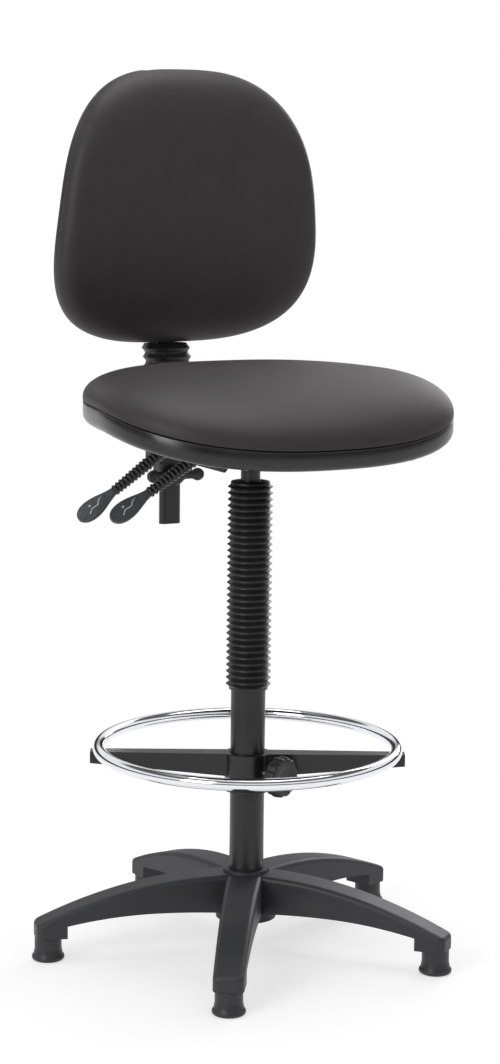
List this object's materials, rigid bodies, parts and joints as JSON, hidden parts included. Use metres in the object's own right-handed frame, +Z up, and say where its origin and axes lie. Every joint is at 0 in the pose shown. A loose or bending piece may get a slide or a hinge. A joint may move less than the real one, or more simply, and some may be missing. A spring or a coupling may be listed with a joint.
{
  "type": "drafting chair",
  "caption": "Tall swivel drafting chair: star base on glides, gas-lift column in a bellows, chromed foot ring, padded seat and curved back set by levers and knobs.",
  "frame": {"origin": "where the column's axis meets the floor that the glides stand on", "axes": "+Z up along the column, the sitter faces -Y, +X is on the sitter's left"},
  "size_m": [0.603, 0.5873, 1.2707],
  "materials": {
    "base_nylon": "satin",
    "glide_nylon": "satin",
    "black_steel": "satin",
    "bright_steel": "satin",
    "zinc_steel": "satin",
    "chrome_ring": "polished",
    "ring_casting": "satin",
    "guide_plastic": "satin",
    "knob_plastic": "satin",
    "bellows_rubber": "satin",
    "grip_rubber": "satin",
    "paddle_plastic": "satin",
    "pan_plastic": "gloss",
    "shell_plastic": "satin",
    "plywood": "matte",
    "upholstery": "satin"
  },
  "bodies": {
    "base": {"base_hub": "base_nylon", "base_arm_1": "base_nylon", "base_arm_2": "base_nylon", "base_arm_3": "base_nylon", "base_arm_4": "base_nylon", "base_arm_5": "base_nylon", "floor_glide_1": "glide_nylon", "floor_glide_2": "glide_nylon", "floor_glide_3": "glide_nylon", "floor_glide_4": "glide_nylon", "floor_glide_5": "glide_nylon", "glide_pins": "zinc_steel", "column_tube": "black_steel", "column_bush": "guide_plastic", "thrust_bearing": "bright_steel", "column_bellows": "bellows_rubber"},
    "gas_rod": {"piston_rod": "bright_steel", "piston": "bright_steel", "column_clip": "black_steel"},
    "foot_ring": {"foot_ring_tube": "chrome_ring", "foot_ring_hub": "ring_casting", "foot_ring_liner": "guide_plastic", "ring_screws": "zinc_steel"},
    "ring_knob": {"ring_knob": "knob_plastic", "ring_knob_stud": "zinc_steel"},
    "seat": {"lift_cylinder": "black_steel", "taper_socket": "black_steel", "mechanism_housing": "black_steel", "pivot_pin": "zinc_steel", "seat_board": "plywood", "seat_pan": "pan_plastic", "seat_cushion": "upholstery", "seat_bolts": "zinc_steel"},
    "release_button": {"release_button": "bright_steel"},
    "height_lever": {"height_lever_rod": "black_steel", "height_lever_sleeve": "grip_rubber", "height_lever_paddle": "paddle_plastic"},
    "tilt_lever": {"tilt_lever_rod": "black_steel", "tilt_lever_sleeve": "grip_rubber", "tilt_lever_paddle": "paddle_plastic"},
    "back_carrier": {"back_carrier": "black_steel", "lock_plates": "bright_steel", "stem_clamp": "guide_plastic", "stem_bellows": "bellows_rubber"},
    "clamp_knob": {"clamp_knob": "knob_plastic", "clamp_stud": "zinc_steel"},
    "back": {"back_stem": "black_steel", "stem_end_cap": "guide_plastic", "back_bracket": "black_steel", "back_board": "plywood", "back_shell": "shell_plastic", "back_cushion": "upholstery", "back_screws": "zinc_steel"}
  },
  "joints": [
    {"name": "seat_swivel", "type": "hinge", "parent": "base", "child": "gas_rod", "pos_m": [0, 0, 0.053], "axis": [0, 0, 1], "continuous": true},
    {"name": "seat_height", "type": "slide", "parent": "gas_rod", "child": "seat", "axis": [0, 0, 1], "range_m": [-0.2, 0], "deforming": ["column_bellows"]},
    {"name": "ring_height", "type": "slide", "parent": "base", "child": "foot_ring", "axis": [0, 0, 1], "range_m": [-0.09, 0.09]},
    {"name": "ring_knob_turn", "type": "hinge", "parent": "foot_ring", "child": "ring_knob", "pos_m": [0, 0, 0.267], "axis": [0.342, -0.9397, 0], "range_deg": [-180, 180]},
    {"name": "height_lever", "type": "hinge", "parent": "seat", "child": "height_lever", "pos_m": [-0.0545, 0.034, 0.733], "axis": [0, 1, 0], "range_deg": [0, 5.3], "stiffness_Nm_per_rad": 3, "springref_deg": -5.73},
    {"name": "release_button_press", "type": "slide", "parent": "seat", "child": "release_button", "axis": [0, 0, 1], "range_m": [-0.0052, 0]},
    {"name": "tilt_lever", "type": "hinge", "parent": "seat", "child": "tilt_lever", "pos_m": [-0.0545, 0.157, 0.724], "axis": [0, 1, 0], "range_deg": [0, 12]},
    {"name": "back_tilt", "type": "hinge", "parent": "seat", "child": "back_carrier", "pos_m": [0, 0.115, 0.744], "axis": [-1, 0, 0], "range_deg": [-3, 15]},
    {"name": "clamp_knob_turn", "type": "hinge", "parent": "back_carrier", "child": "clamp_knob", "pos_m": [0, 0.24, 0.668], "axis": [0, 1, 0], "range_deg": [-180, 180]},
    {"name": "back_height", "type": "slide", "parent": "back_carrier", "child": "back", "axis": [0, 0, 1], "range_m": [-0.03, 0.035], "deforming": ["stem_bellows"]}
  ],
  "couplings": [
    {"joint": "release_button_press", "follows": "height_lever", "m_per_rad": -0.0562}
  ]
}
